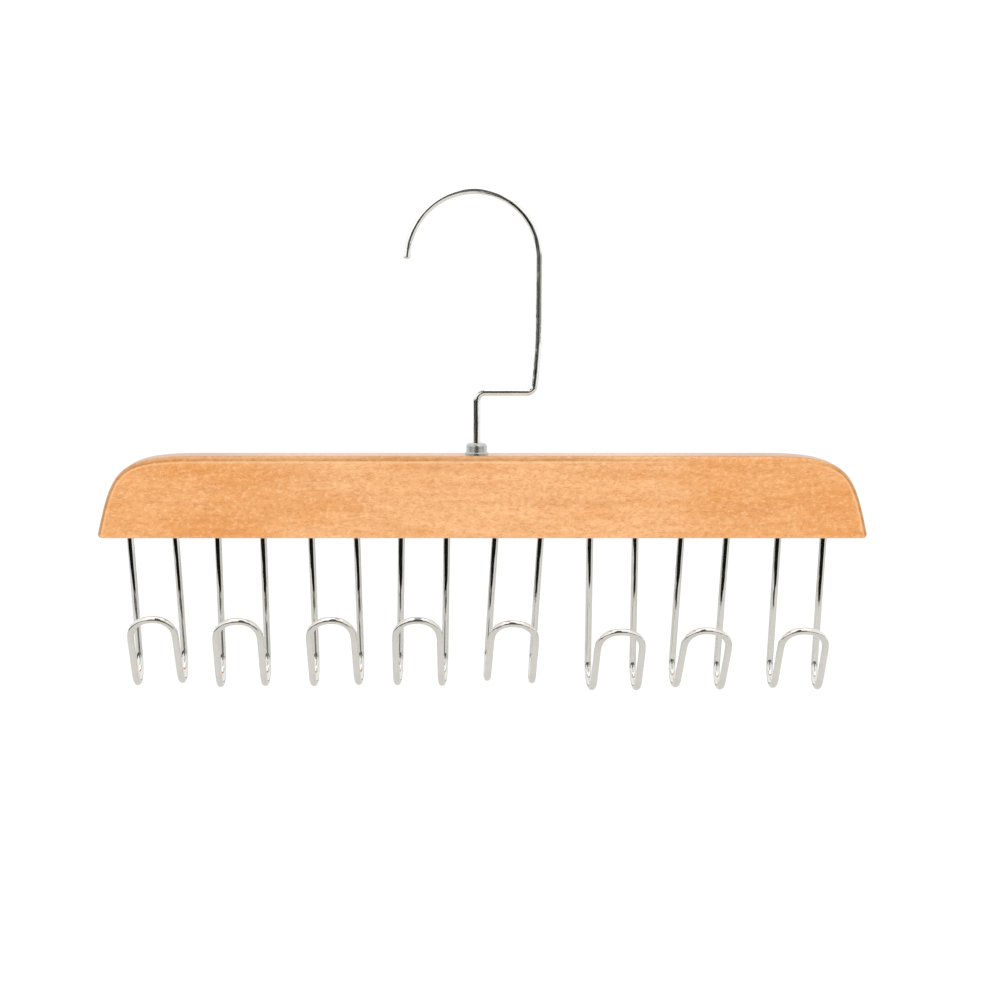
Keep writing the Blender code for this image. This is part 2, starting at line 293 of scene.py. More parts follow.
def hook_frames(settings):
    """For each belt hook, its bent share group and the matrix from hook to hanger."""
    hooks = settings.hooks
    count = len(hooks.bent)
    pitch = (settings.bar.length - 2 * hooks.end_inset) / (count - 1)
    for index, bent in enumerate(hooks.bent):
        x = settings.swivel.stem_offset + (index - (count - 1) / 2 + bent.place_share) * pitch
        place = Matrix.Translation((x, 0, underside(settings)))
        tilted = Matrix.Identity(4)
        tilted[1][2] = math.tan(bent.tilt)
        yield bent, place @ Matrix.Rotation(-bent.lean, 4, "Y") @ tilted


# Mesh making

def linked(name, data):
    """A new object in the scene."""
    made = bpy.data.objects.new(name, data)
    bpy.context.scene.collection.objects.link(made)
    return made


def shade(mesh, smooth_deg):
    mesh.shade_smooth()
    mesh.set_sharp_from_angle(angle=math.radians(smooth_deg))


def object_from(bm, name, surface, smooth_deg=SMOOTH_DEG):
    bmesh.ops.recalc_face_normals(bm, faces=bm.faces)
    mesh = bpy.data.meshes.new(name)
    bm.to_mesh(mesh)
    bm.free()
    shade(mesh, smooth_deg)
    if surface:
        mesh.materials.append(surface)
    return linked(name, mesh)


def stands_for(piece, node, body):
    """The piece takes a CAD node's place; its box has to be the node's box within the fit tolerance."""
    bpy.context.view_layer.update()
    for axis, (low, high) in enumerate(zip(*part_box(node))):
        places = [vert.co[axis] for vert in piece.data.vertices]
        off = max(abs(min(places) - low), abs(max(places) - high))
        if off > FIT_TOLERANCE:
            raise ValueError(f"{piece.name} is {off / MM:.2f} mm off the box of {node} along axis {axis}")
    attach(piece, body)
    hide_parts(node)


def rounded_path(corners, step_deg=BEND_STEP_DEG):
    """Straight runs joined by arcs; corners are (point, bend radius), and one with no radius stays sharp."""
    path = [corners[0][0]]
    for (before, _), (here, radius), (after, _) in zip(corners, corners[1:], corners[2:]):
        if not radius:
            path.append(here)
            continue
        back = (before - here).normalized()
        ahead = (after - here).normalized()
        turn = math.pi - back.angle(ahead)
        start = here + back * radius * math.tan(turn / 2)
        centre = here + (back + ahead).normalized() * radius / math.cos(turn / 2)
        steps = max(2, math.ceil(turn / math.radians(step_deg)))
        axis = ahead.cross(back)
        for step in range(steps + 1):
            path.append(centre + Matrix.Rotation(turn * step / steps, 3, axis) @ (start - centre))
    path.append(corners[-1][0])
    return path


def domed_end(path, radius):
    """Rings from the rounded tip at a path's start back to the wire's full thickness, as (point, radius)."""
    inward = (path[1] - path[0]).normalized()
    rings = []
    for step in range(1, DOME_STEPS + 1):
        turn = math.pi / 2 * step / DOME_STEPS
        depth = radius * DOME_DEPTH_SHARE * (1 - math.cos(turn))
        rings.append((path[0] + inward * depth, radius * math.sin(turn)))
    return rings


def bend_shares(points, radius):
    """How sharply the wire is bent at each point: 0 is straight, and 1 is bent round twice its thickness."""
    shares = [0.0]
    for before, here, after in zip(points, points[1:], points[2:]):
        turn = (here - before).angle(after - here, 0.0)
        run = ((here - before).length + (after - here).length) / 2
        shares.append(min(1.0, TIGHT_BEND_RADII * radius * turn / max(run, MERGE_DISTANCE)))
    shares.append(0.0)
    return shares


def supported(rings):
    """Rings with more in the straight runs, also close to both ends, so that the shading stays straight."""
    full = [rings[0]]
    for (here, radius), (there, next_radius) in zip(rings, rings[1:]):
        run = (there - here).length
        if run > LONG_RUN and radius == next_radius:
            count = math.ceil(run / LONG_RUN)
            shares = [SUPPORT / run] + [step / count for step in range(1, count)] + [1 - SUPPORT / run]
            full += [(here.lerp(there, share), radius) for share in shares]
        full.append((there, next_radius))
    return full


def join_loops(bm, loops):
    """Faces between loops of as many points, and one over each end."""
    for near, far in zip(loops, loops[1:]):
        for index in range(len(near)):
            following = (index + 1) % len(near)
            bm.faces.new((near[index], near[following], far[following], far[index]))
    bm.faces.new(loops[0])
    bm.faces.new(loops[-1])


def sweep_wire(name, rings, surface, wire_radius):
    """A round wire through rings of (point, radius), closed at both ends.

    It keeps two point attributes: straightened, a point's place in the unbent wire, and bend_share.
    """
    rings = supported(rings)
    points = [point for point, _ in rings]
    shares = bend_shares(points, wire_radius)
    bm = bmesh.new()
    straightened = bm.verts.layers.float_vector.new("straightened")
    bend_share = bm.verts.layers.float.new("bend_share")
    loops = []
    along = 0.0
    heading = (points[1] - points[0]).normalized()
    across = heading.orthogonal().normalized()
    neighbours = zip(points[:1] + points, points[1:] + points[-1:])
    for (before, after), (point, radius), share in zip(neighbours, rings, shares):
        ahead = (after - before).normalized()
        across = heading.rotation_difference(ahead) @ across
        across = (across - ahead * across.dot(ahead)).normalized()
        heading = ahead
        side = ahead.cross(across)
        along += (point - before).length
        loop = []
        for turn in range(WIRE_SIDES):
            bearing = math.tau * turn / WIRE_SIDES
            vert = bm.verts.new(point + radius * (math.cos(bearing) * across + math.sin(bearing) * side))
            vert[straightened] = (wire_radius * math.cos(bearing), wire_radius * math.sin(bearing), along)
            vert[bend_share] = share
            loop.append(vert)
        loops.append(loop)
    join_loops(bm, loops)
    return object_from(bm, name, surface, smooth_deg=WIRE_SMOOTH_DEG)


def add_turned(bm, profile, steps, matrix):
    """Spins a profile of (radius, height) about Z; one that doesn't start on the axis is closed to a ring."""
    known = set(bm.verts)
    verts = [bm.verts.new((radius, 0, height)) for radius, height in profile]
    edges = [bm.edges.new(pair) for pair in zip(verts, verts[1:])]
    if profile[0][0]:
        edges.append(bm.edges.new((verts[-1], verts[0])))
    bmesh.ops.spin(bm, geom=verts + edges, axis=(0, 0, 1), cent=(0, 0, 0), angle=math.tau, steps=steps,
                   use_merge=True)
    turned = [vert for vert in bm.verts if vert not in known]
    bmesh.ops.remove_doubles(bm, verts=turned, dist=MERGE_DISTANCE)
    turned = [vert for vert in bm.verts if vert not in known]
    bmesh.ops.transform(bm, matrix=matrix, verts=turned)


def quarter(centre_radius, centre_height, radius, start_deg, turn_deg=-90):
    """Points of a quarter round in a turned profile."""
    angles = [math.radians(start_deg + turn_deg * step / ROUND_STEPS) for step in range(ROUND_STEPS + 1)]
    return [(centre_radius + radius * math.cos(a), centre_height + radius * math.sin(a)) for a in angles]


def cut_away(piece, cutter):
    """Takes the cutter's form out of the piece and removes the cutter."""
    boolean = piece.modifiers.new("cut", "BOOLEAN")
    boolean.operation = "DIFFERENCE"
    boolean.solver = "EXACT"
    boolean.object = cutter
    bpy.context.view_layer.update()
    cut = bpy.data.meshes.new_from_object(piece.evaluated_get(bpy.context.evaluated_depsgraph_get()))
    piece.modifiers.clear()
    uncut = piece.data
    cut.name = piece.name
    piece.data = cut
    bpy.data.meshes.remove(uncut)
    bpy.data.meshes.remove(cutter.data)


# Materials

# Inputs go by name or number. MATH has 0 and 1, and adds 2 in MULTIPLY_ADD. RANGE takes 0 from between 1 and
# 2 to between 3 and 4, which are 0 and 1 if not given, and holds it there. MIX lays the share 0 of colour 7
# over colour 6.
MATH, MIX, RANGE, BUMP = "ShaderNodeMath", "ShaderNodeMix", "ShaderNodeMapRange", "ShaderNodeBump"
PLACE, ATTRIBUTE = "ShaderNodeTexCoord", "ShaderNodeAttribute"
MAPPING, NOISE = "ShaderNodeMapping", "ShaderNodeTexNoise"
IN_COLOUR = {"output": 2, "data_type": "RGBA"}

# The board's tone: how far the grain wanders, and the middle and reach of its paler part
GRAIN_PUSH = 16 * MM
PALE_X = 10 * MM
PALE_REACH = 40 * MM
DEEP_REACH = 105 * MM
DEEP_SHARE = 0.8
CURL_WIDTH = 0.05
FIBRE_RELIEF = 0.05 * MM

# The board's edge, along the rim attribute: the painted shade line at the arris, then the painted shade on
# the top and ends
SHADE_LINE_START = -0.7 * MM
SHADE_LINE_FULL = -0.4 * MM
FACE_SHADE_START = 0.7 * MM
FACE_SHADE_FULL = 1.8 * MM
END_GRAIN_SHIFT = 0.7 * MM
HIGHLIGHT_STRENGTH = 0.42

# The painted shade line and painted highlight are faint along a stretch of the top that has its middle here
QUIET_X = 100 * MM
QUIET_REACH = 15 * MM
LIVELY_REACH = 65 * MM

# How far haze and bends take the chrome's tone to the worn one, and what they add to its roughness
HAZE_WEAR, BEND_WEAR = 0.4, 0.35
HAZE_MATT, BEND_MATT = 0.05, 0.06

# Depths of relief in the metal
ROLL_WOBBLE = 0.12 * MM
DRAWING_LINE = 0.01 * MM
PEEL_DEPTH = 0.04 * MM
TOOL_MARK = 0.04 * MM


def connect(tree, node, inputs):
    """Gives each input a link or a value, which may be a hex colour."""
    for key, value in inputs.items():
        if isinstance(value, bpy.types.NodeSocket):
            tree.links.new(value, node.inputs[key])
        else:
            node.inputs[key].default_value = hex_to_linear(value) if isinstance(value, str) else value


def add(tree, kind, inputs=None, output=0, **settings):
    """Adds a node with its settings, values and links, and returns one of its outputs."""
    made = tree.nodes.new(kind)
    for name, value in settings.items():
        setattr(made, name, value)
    connect(tree, made, inputs or {})
    return made.outputs[output]


def new_material(name):
    made = bpy.data.materials.new(name)
    made.use_nodes = True
    return made, made.node_tree, made.node_tree.nodes["Principled BSDF"]


def sized_patterns(tree, source, rows):
    """Noise patterns by name; a row has the name, a cell's size in mm, detail, roughness and offset."""
    made = {}
    for name, size_mm, detail, roughness, offset in rows:
        scale = [1 / (size * MM) for size in size_mm]
        shift = (offset, 2 * offset, 3 * offset)
        cells = add(tree, MAPPING, {"Vector": source, "Scale": scale, "Location": shift})
        noise = {"Vector": cells, "Scale": 1.0, "Detail": detail, "Roughness": roughness}
        made[name] = add(tree, NOISE, noise)
    return made


def lacquered_beech(wood):
    """Steamed beech, planed along the grain, sanded and dipped in a honey-tinted clear lacquer.

    To the eye: a warm board that is deeper orange towards its ends, with low-contrast streaks along the
    grain, a close mottling of pale and brown curls where the cut fibres catch the light, and a satin skin.
    """
    made, tree, shader = new_material("steamed_beech_satin_lacquer")
    place = add(tree, PLACE, output="Object")
    along = add(tree, "ShaderNodeSeparateXYZ", {0: place}, output="X")

    slow = sized_patterns(tree, place, (
        ("push", (70, 30, 26), 1, 0.5, 8.2),     # bends the streaks
        ("drift", (34, 20, 11), 2, 0.5, 3.1)))   # clouds of deeper tone
    push = add(tree, MATH, {0: slow["push"], 1: GRAIN_PUSH}, operation="MULTIPLY")
    upwards = add(tree, "ShaderNodeCombineXYZ", {"Z": push})
    pushed = add(tree, "ShaderNodeVectorMath", {0: place, 1: upwards}, operation="ADD")
    grain = sized_patterns(tree, pushed, (
        ("streaks", (40, 8, 2.3), 3, 0.5, 0),
        # Real fibres are finer than 0.1 mm; these are drawn as coarse as the render can show
        ("fibres", (3.4, 1.5, 0.45), 2, 0.6, 1.7)))
    fine = sized_patterns(tree, place, (
        ("speckle", (1.1, 1.0, 0.8), 2, 0.6, 4.5),
        ("patches", (1.9, 1.6, 1.2), 2, 0.5, 2.2),
        ("pale curls", (1.25, 1.0, 0.8), 1, 0.5, 5.3),
        ("brown curls", (2.2, 1.1, 0.6), 1, 0.5, 7.9)))

    away = []
    for middle, near, far in ((PALE_X, PALE_REACH, DEEP_REACH), (QUIET_X, QUIET_REACH, LIVELY_REACH)):
        shifted = add(tree, MATH, {0: along, 1: -middle}, operation="ADD")
        off_middle = add(tree, MATH, {0: shifted}, operation="ABSOLUTE")
        away.append(add(tree, RANGE, {0: off_middle, 1: near, 2: far}))
    ends, lively_top = away

    # The board is deeper orange away from its middle, and in slow clouds
    clouds = add(tree, RANGE, {0: slow["drift"], 1: 0.38, 2: 0.66, 3: -0.3, 4: 0.45})
    deep = add(tree, MATH, {0: ends, 1: DEEP_SHARE, 2: clouds}, operation="MULTIPLY_ADD", use_clamp=True)
    tone = add(tree, MIX, {0: deep, 6: wood.light, 7: wood.body}, **IN_COLOUR)

    # Streaks, fleck-like fibres and speckle: the noise where each starts and is full, its strength and colour
    covers = []
    for pattern, start, full, strength, code in (
            (grain["streaks"], 0.40, 0.66, 0.38, wood.dark),
            (grain["fibres"], 0.56, 0.68, 0.40, wood.fleck),
            (fine["speckle"], 0.46, 0.26, 0.16, wood.dark),
            (fine["speckle"], 0.54, 0.74, 0.12, wood.speck_and_highlight)):
        covers.append((add(tree, RANGE, {0: pattern, 1: start, 2: full, 4: strength}), code))
    # Curls are thin lines where their noise is halfway, and they show in patches
    for curls, start, full, strength, code in (
            ("brown curls", 0.47, 0.57, 0.46, wood.fleck),
            ("pale curls", 0.49, 0.41, 0.50, wood.speck_and_highlight)):
        line = add(tree, MATH, {0: fine[curls], 1: 0.5, 2: CURL_WIDTH}, operation="COMPARE")
        here = add(tree, RANGE, {0: fine["patches"], 1: start, 2: full, 4: strength})
        covers.append((add(tree, MATH, {0: line, 1: here}, operation="MULTIPLY"), code))
    for share, code in covers:
        tone = add(tree, MIX, {0: share, 6: tone, 7: code}, **IN_COLOUR)

    # Sanding rounds the arris. Painted shade darkens the rounded edge: a line at the arris and a shade over
    # the top and ends, of which the stronger counts, multiplied in with a cool grey tint. A painted highlight
    # runs just inside the line.
    end_grain = add(tree, ATTRIBUTE, output="Fac", attribute_name="end_grain")
    round_edge = add(tree, ATTRIBUTE, output="Fac", attribute_name="rim")
    rim = add(tree, MATH, {0: end_grain, 1: -END_GRAIN_SHIFT, 2: round_edge}, operation="MULTIPLY_ADD")
    lively_end = add(tree, RANGE, {0: end_grain, 1: 0.1, 2: 0.5})
    lively = add(tree, MATH, {0: lively_top, 1: lively_end}, operation="MAXIMUM")
    shade_line_rising = add(tree, RANGE, {0: rim, 1: SHADE_LINE_START, 2: SHADE_LINE_FULL})
    shade_line_falling = add(tree, RANGE, {0: rim, 1: SHADE_LINE_FULL, 2: FACE_SHADE_START, 3: 0.7, 4: 0.45})
    highlight_rising = add(tree, RANGE, {0: rim, 1: -HIGHLIGHT_LOOPS[0], 2: -HIGHLIGHT_LOOPS[1], 4: HIGHLIGHT_STRENGTH})
    highlight_falling = add(tree, RANGE, {0: rim, 1: -HIGHLIGHT_LOOPS[3], 2: -HIGHLIGHT_LOOPS[2]})
    trims = []
    for rising, falling in ((shade_line_rising, shade_line_falling), (highlight_rising, highlight_falling)):
        whole = add(tree, MATH, {0: rising, 1: falling}, operation="MULTIPLY")
        trims.append(add(tree, MATH, {0: whole, 1: lively}, operation="MULTIPLY"))
    shade_line, highlight = trims
    face_shade = add(tree, RANGE, {0: rim, 1: FACE_SHADE_START, 2: FACE_SHADE_FULL})
    painted_shade = add(tree, MATH, {0: shade_line, 1: face_shade}, operation="MAXIMUM")
    tint = add(tree, MIX, {0: end_grain, 6: wood.edge, 7: wood.end_grain}, **IN_COLOUR)
    tone = add(tree, MIX, {0: painted_shade, 6: tone, 7: tint}, **IN_COLOUR, blend_type="MULTIPLY")
    tone = add(tree, MIX, {0: highlight, 6: tone, 7: wood.speck_and_highlight}, **IN_COLOUR)

    # A satin skin: uneven matt wood with fibres raised by hundredths of a millimetre, under a clear coat
    matt = add(tree, MATH, {0: fine["speckle"], 1: 0.16, 2: 0.36}, operation="MULTIPLY_ADD")
    relief = add(tree, BUMP, {"Height": grain["fibres"], "Distance": FIBRE_RELIEF, "Strength": 0.55})
    connect(tree, shader, {"Base Color": tone, "Roughness": matt, "Normal": relief, "IOR": 1.5,
                           "Coat Weight": 0.6, "Coat IOR": 1.5, "Coat Roughness": 0.2})
    return made


def bright_chrome(name, chrome, worn, wobble_mm, peel_share, dullness):
    """Bright chrome plate on drawn steel wire: a mirror that is slightly hazed, with faint lengthwise drawing
    lines, slow wobbles left by the straightening rolls, and a duller, orange-peeled skin on the bends."""
    made, tree, shader = new_material(name)
    drawn = add(tree, ATTRIBUTE, output="Vector", attribute_name="straightened")
    bent = add(tree, ATTRIBUTE, output="Fac", attribute_name="bend_share")
    skin = sized_patterns(tree, drawn, (
        ("haze", (1.6, 1.6, 4.5), 3, 0.6, 0),
        # Drawing lines are finer than 0.1 mm; these are drawn as coarse as the render can show
        ("lines", (0.35, 0.35, 14), 2, 0.5, 0),
        ("rolls", (2.2, 2.2, wobble_mm), 1, 0.4, 5.0),
        ("peel", (0.6, 0.6, 0.8), 2, 0.6, 1.0)))

    hazed = add(tree, MATH, {0: skin["haze"], 1: HAZE_WEAR}, operation="MULTIPLY")
    wear = add(tree, MATH, {0: bent, 1: BEND_WEAR, 2: hazed}, operation="MULTIPLY_ADD")
    tone = add(tree, MIX, {0: wear, 6: chrome, 7: worn}, **IN_COLOUR)
    dulled = add(tree, MATH, {0: skin["haze"], 1: HAZE_MATT, 2: dullness}, operation="MULTIPLY_ADD")
    matt = add(tree, MATH, {0: bent, 1: BEND_MATT, 2: dulled}, operation="MULTIPLY_ADD")

    peeling = add(tree, MATH, {0: bent, 1: peel_share}, operation="MAXIMUM")
    peeled = add(tree, MATH, {0: skin["peel"], 1: peeling}, operation="MULTIPLY")
    half_peeled = add(tree, MATH, {0: peeled, 1: 0.5}, operation="MULTIPLY")
    fine = add(tree, MATH, {0: skin["lines"], 1: 0.5, 2: half_peeled}, operation="MULTIPLY_ADD")
    broad = add(tree, BUMP, {"Height": skin["rolls"], "Distance": ROLL_WOBBLE, "Strength": 1.0})
    depth = DRAWING_LINE + PEEL_DEPTH * peel_share
    relief = add(tree, BUMP, {"Height": fine, "Distance": depth, "Strength": 0.8, "Normal": broad})
    connect(tree, shader, {"Base Color": tone, "Metallic": 1.0, "Roughness": matt, "Normal": relief})
    return made


def turned_plate(name, metal, code, ring_mm, roughness):
    """Steel turned on a lathe and plated: fine rings round the axis, a soft sheen and a few darker rings."""
    made, tree, shader = new_material(name)
    place = add(tree, PLACE, output="Object")
    up = add(tree, "ShaderNodeSeparateXYZ", {0: place}, output="Z")
    height = add(tree, "ShaderNodeCombineXYZ", {"Z": up})
    # Tool rings ring_mm apart; real ones of 0.1 mm wouldn't show, so they are as coarse as the render needs
    rings = sized_patterns(tree, height, (("rings", (1, 1, ring_mm), 2, 0.6, 0),))["rings"]
    haze = sized_patterns(tree, place, (("haze", (1.5, 1.5, 1.1), 3, 0.6, 0),))["haze"]
    tone = code
    for pattern, share, over in ((rings, 0.5, metal.rings), (haze, 0.3, metal.haze)):
        weight = add(tree, MATH, {0: pattern, 1: share}, operation="MULTIPLY")
        tone = add(tree, MIX, {0: weight, 6: tone, 7: over}, **IN_COLOUR)
    matt = add(tree, MATH, {0: haze, 1: 0.14, 2: roughness}, operation="MULTIPLY_ADD")
    uneven = add(tree, MATH, {0: haze, 1: 0.3, 2: rings}, operation="MULTIPLY_ADD")
    relief = add(tree, BUMP, {"Height": uneven, "Distance": TOOL_MARK, "Strength": 0.6})
    connect(tree, shader, {"Base Color": tone, "Metallic": 1.0, "Roughness": matt, "Normal": relief})
    return made


def studio_sheet(name, code, fleck_mm):
    """Matt paper or card of the studio, with a barely visible fibre mottling."""
    made, tree, shader = new_material(name)
    place = add(tree, PLACE, output="Object")
    mottle = sized_patterns(tree, place, (("mottle", (fleck_mm,) * 3, 3, 0.5, 0),))["mottle"]
    full = hex_to_linear(code)
    dimmed = tuple(part * 0.9 for part in full[:3]) + (1.0,)
    weight = add(tree, MATH, {0: mottle, 1: 0.3}, operation="MULTIPLY")
    tone = add(tree, MIX, {0: weight, 6: full, 7: dimmed}, **IN_COLOUR)
    matt = add(tree, MATH, {0: mottle, 1: 0.1, 2: 0.8}, operation="MULTIPLY_ADD")
    connect(tree, shader, {"Base Color": tone, "Roughness": matt, "Specular IOR Level": 0.0})
    return made


# Pieces

def swivel_path(settings):
    """The swivel hook's centreline, from the tip over the crown and down the side and crank to the head."""
    sizes = settings.swivel
    wire_radius = settings.wire.diameter / 2
    path = []
    for radius, start, end in ((sizes.tip_radius, 180, 90), (sizes.crown_radius, 90, 0)):
        centre = Vector((0, 0, wire_radius - radius))
        for step in range(CROWN_STEPS + 1):
            turn = math.radians(start + (end - start) * step / CROWN_STEPS)
            path.append(centre + radius * Vector((math.cos(turn), 0, math.sin(turn))))
    path.pop(CROWN_STEPS)
    side_bend = Vector((sizes.crown_radius, 0, -sizes.side_bend_drop))
    lean_back = (sizes.crank_drop - sizes.side_bend_drop) * math.tan(sizes.side_bend)
    crank_outer = Vector((sizes.crown_radius - lean_back, 0, -sizes.crank_drop))
    crank_inner = Vector((sizes.stem_offset, 0, -sizes.crank_drop))
    stem_end = Vector((sizes.stem_offset, 0, bar_top(settings) - sizes.head_depth))
    corners = [(path[-1], 0), (side_bend, sizes.side_bend_radius), (crank_outer, sizes.crank_radius),
               (crank_inner, sizes.stem_radius), (stem_end, 0)]
    return path + rounded_path(corners, step_deg=SIDE_STEP_DEG)[1:]


def belt_hook_path(settings, bent):
    """One belt hook's centreline: down from the bar, round the bend, up the front leg and over the arch."""
    hooks = settings.hooks
    half = hooks.leg_spacing / 2
    drop = hooks.drop * (1 + bent.drop_share)
    bend_radius = hooks.bend_radius * (1 + bent.bend_share)
    sway = hooks.leg_spacing * bent.sway_share
    upwards = Vector((0, -math.sin(bent.front_lean), math.cos(bent.front_lean)))
    bend_run = bend_radius / math.tan(bent.front_lean / 2)
    bend = Vector((-half, 0, bend_radius - drop - bend_run))
    shoulder = bend + (bend_run + hooks.front_leg) * upwards
    corners = [(Vector((-half, 0, hooks.seated)), 0), (bend, bend_radius), (shoulder, hooks.shoulder_radius)]
    arch = []
    for step in range(ARCH_STEPS + 1):
        turn = math.radians(ARCH_START_DEG + (90 - ARCH_START_DEG) * step / ARCH_STEPS)
        across = half * math.cos(turn) ** hooks.arch_squareness
        rise = hooks.arch_rise * math.sin(turn) ** hooks.arch_squareness
        arch.append(Vector((-across, shoulder.y, shoulder.z)) + rise * upwards)
    left = rounded_path(corners + [(arch[0], 0)])[:-1] + arch
    right = [Vector((-point.x, point.y, point.z)) for point in reversed(left[:-1])]
    path = left + right
    for point in path:
        point.x += (sway - hooks.front_taper * point.x) * point.y / arch[-1].y
    return path


def bar_outline(bar):
    """The bar's outline from the front, clockwise from the right shoulder, about its underside's middle."""
    side_handle = bar.side_handle * Vector((math.sin(bar.foot_slant), 0, math.cos(bar.foot_slant)))
    shoulder = Vector((bar.shoulder_reach, 0, bar.height))
    shoulder_handle = shoulder - Vector((bar.top_handle, 0, 0))
    side = interpolate_bezier(shoulder, shoulder_handle, side_handle, Vector((0, 0, 0)), SHOULDER_STEPS)
    inner = Vector((bar.shoulder_reach, 0, 0))
    corners = [(point, 0) for point in side[:-1]] + [(Vector((0, 0, 0)), bar.foot_radius), (inner, 0)]
    end = rounded_path(corners, step_deg=FOOT_STEP_DEG)[:-1]
    right = [Vector((bar.length / 2 - point.x, 0, point.z)) for point in end]
    left = [Vector((-point.x, 0, point.z)) for point in reversed(right)]
    return right + left


def bar_loops(bar):
    """Loops round the board, from its front face over the sanded edges to its back face.

    A loop is a list of (point, rim, end_grain). rim is the way round the edge from where the face ends, less
    than zero on the face, and is kept near its lowest along the underside, which has no painted highlight or
    painted shade.
    end_grain is how far the edge faces sideways.
    """
    outline = bar_outline(bar)
    radius = bar.edge_radius
    section = [(-gap, radius + gap, bar.thickness / 2) for gap in HIGHLIGHT_LOOPS]
    for step in range(EDGE_STEPS + 1):
        turn = math.pi / 2 * step / EDGE_STEPS
        depth = bar.thickness / 2 - radius * (1 - math.cos(turn))
        section.append((turn * radius, radius * (1 - math.sin(turn)), depth))
    loops = []
    for side, order in ((-1, section), (1, section[::-1])):
        for rim, inset, depth in order:
            loop = []
            for before, here, after in zip(outline[-1:] + outline, outline, outline[1:] + outline[:1]):
                ahead = ((here - before).normalized() + (after - here).normalized()).normalized()
                sideways = abs(ahead.z)
                raised = min(1.0, max(HIGHLIGHT_AT_FOOT, (here.z - bar.foot_radius) / HIGHLIGHT_RISE))
                inward = inset if rim >= 0 else radius - rim * raised
                point = here + inward * Vector((ahead.z, 0, -ahead.x)) + Vector((0, side * depth, 0))
                kept = -HIGHLIGHT_LOOPS[0] + (rim + HIGHLIGHT_LOOPS[0]) * max(raised, sideways)
                loop.append((point, kept, sideways))
            loops.append(loop)
    return loops


class HANGER_OT_wooden_bar(bpy.types.Operator):
    """Make the wooden bar with its sanded edges, leg holes and bore"""
    bl_idname = "hanger.wooden_bar"
    bl_label = "Wooden bar"

    def execute(self, context):
        settings = context.scene.belt_hanger
        bar = settings.bar
        wire_radius = settings.wire.diameter / 2
        bm = bmesh.new()
        place = Vector((settings.swivel.stem_offset + bar.offset, 0, underside(settings)))
        rim = bm.verts.layers.float.new("rim")
        end_grain = bm.verts.layers.float.new("end_grain")
        loops = []
        for loop in bar_loops(bar):
            made = []
            for point, round_edge, sideways in loop:
                vert = bm.verts.new(place + point)
                vert[rim] = round_edge
                vert[end_grain] = sideways
                made.append(vert)
            loops.append(made)
        join_loops(bm, loops)
        piece = object_from(bm, "lacquered_bar", lacquered_beech(settings.wood))

        cutters = bmesh.new()
        cutter_rim = cutters.verts.layers.float.new("rim")
        over, chamfer = CUT_OVERRUN, LEG_HOLE_CHAMFER
        wall = wire_radius + settings.wire.hole_gap
        depth_in = settings.hooks.seated + chamfer
        leg_hole = [(0, depth_in + chamfer), (wall, depth_in), (wall, chamfer), (wall + chamfer, 0),
                    (wall + chamfer, -over), (0, -over)]
        for _, matrix in hook_frames(settings):
            for side in (-1, 1):
                shift = Matrix.Translation((side * settings.hooks.leg_spacing / 2, 0, 0))
                add_turned(cutters, leg_hole, HOLE_STEPS, matrix @ shift)
        bore = [(0, over), (bar.bore_radius, over), (bar.bore_radius, -bar.bore_depth), (0, -bar.bore_depth)]
        add_turned(cutters, bore, HOLE_STEPS, bore_mouth(settings))
        # The bore's wall takes the top face's painted shade and the leg holes' walls the underside's, with no
        # seam
        for vert in cutters.verts:
            in_bore = vert.co.z > bar_top(settings) - bar.height / 2
            vert[cutter_rim] = bar.edge_radius * math.pi / 2 if in_bore else -HIGHLIGHT_LOOPS[0]
        cut_away(piece, object_from(cutters, "bar_cutters", None))

        shade(piece.data, SMOOTH_DEG)
        weighted = piece.modifiers.new("flat faces stay flat", "WEIGHTED_NORMAL")
        weighted.keep_sharp = True
        weighted.weight = FLAT_FACE_WEIGHT
        stands_for(piece, "bar", "hanger")
        return {"FINISHED"}


class HANGER_OT_swivel_hook(bpy.types.Operator):
    """Bend the swivel hook from one wire, from its rounded tip to the head under the ferrule"""
    bl_idname = "hanger.swivel_hook"
    bl_label = "Swivel hook"

    def execute(self, context):
        settings = context.scene.belt_hanger
        sizes = settings.swivel
        radius = settings.wire.diameter / 2
        path = swivel_path(settings)
        rings = domed_end(path, radius) + [(point, radius) for point in path[STRAIGHT_TIP_STEPS:]]
        full, eased = sizes.head_radius, sizes.head_radius - HEAD_EASE
        for below, head in ((0, eased), (HEAD_EASE, full), (sizes.head_height - HEAD_EASE, full),
                            (sizes.head_height, eased)):
            rings.append((path[-1] - Vector((0, 0, below + MERGE_DISTANCE)), head))
        metal = settings.metal
        plate = bright_chrome("bright_chrome_on_hook_wire", metal.hook_chrome, metal.chrome,
                              wobble_mm=5.0, peel_share=0.5, dullness=0.1)
        piece = sweep_wire("chromed_swivel_hook", rings, plate, radius)
        stands_for(piece, "swivel_hook", "hook")
        return {"FINISHED"}


class HANGER_OT_belt_hooks(bpy.types.Operator):
    """Bend the eight belt hooks, each from one wire with both ends in the bar"""
    bl_idname = "hanger.belt_hooks"
    bl_label = "Belt hooks"

    def execute(self, context):
        settings = context.scene.belt_hanger
        radius = settings.wire.diameter / 2
        metal = settings.metal
        plate = bright_chrome("bright_chrome_on_belt_hook_wire", metal.chrome, metal.chrome_worn,
                              wobble_mm=12.0, peel_share=0.0, dullness=0.02)
        for index, (bent, matrix) in enumerate(hook_frames(settings), 1):
            path = [matrix @ point for point in belt_hook_path(settings, bent)]
            rings = domed_end(path, radius) + [(point, radius) for point in path[1:-1]]
            rings += domed_end(path[::-1], radius)[::-1]
            piece = sweep_wire(f"chromed_belt_hook_{index}", rings, plate, radius)
            stands_for(piece, f"belt_hook_{index}", "hanger")
        return {"FINISHED"}


